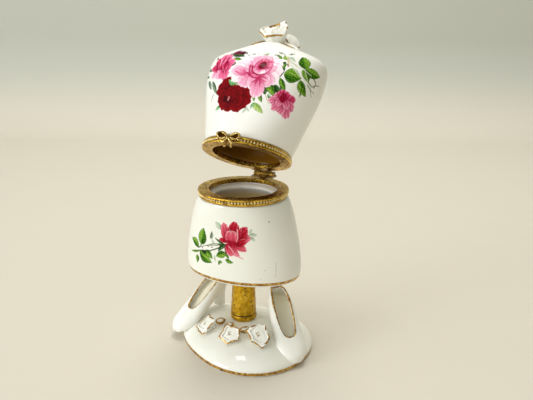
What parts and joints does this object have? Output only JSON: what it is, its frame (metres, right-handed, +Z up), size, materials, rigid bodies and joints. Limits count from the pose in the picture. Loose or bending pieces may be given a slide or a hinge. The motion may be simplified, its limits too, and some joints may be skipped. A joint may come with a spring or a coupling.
{
  "type": "hinged trinket box",
  "caption": "Porcelain trinket box shaped as a dressmaker's bust on a gilded post and a domed base, with a hinged torso lid over a skirt-shaped cup.",
  "frame": {"origin": "on the axis of the post, on the flat underside that the box stands on", "axes": "+Z up; -Y to the front, where the clasp is; +Y to the hinge; +X to the box's left, which is the viewer's right from the front"},
  "size_m": [0.0639, 0.0653, 0.1378],
  "materials": {
    "porcelain_glaze": "glossy",
    "bezel_brass": "cast and lightly tarnished",
    "gilt_post": "fired gold over glaze, pitted"
  },
  "bodies": {
    "stand": {"base_mound": "porcelain_glaze", "post": "gilt_post", "skirt_cup": "porcelain_glaze", "rose_left": "porcelain_glaze", "rose_middle": "porcelain_glaze", "rose_right": "porcelain_glaze", "rose_leaf_left": "porcelain_glaze", "rose_leaf_middle": "porcelain_glaze", "rose_leaf_right": "porcelain_glaze", "shoe_left": "porcelain_glaze", "shoe_right": "porcelain_glaze", "lower_bezel": "bezel_brass", "lower_hinge_leaf": "bezel_brass", "hinge_pin": "bezel_brass", "catch_nib": "bezel_brass"},
    "lid": {"torso": "porcelain_glaze", "upper_bezel": "bezel_brass", "upper_hinge_leaf": "bezel_brass", "clasp_tongue": "bezel_brass", "clasp_bow": "bezel_brass", "neck_rose": "porcelain_glaze", "neck_leaf_left": "porcelain_glaze", "neck_leaf_right": "porcelain_glaze", "neck_leaf_back": "porcelain_glaze"}
  },
  "joints": [
    {"name": "lid_hinge", "type": "hinge", "parent": "stand", "child": "lid", "pos_m": [0, 0.0238, 0.071], "axis": [1, 0, 0], "range_deg": [0, 30]}
  ]
}
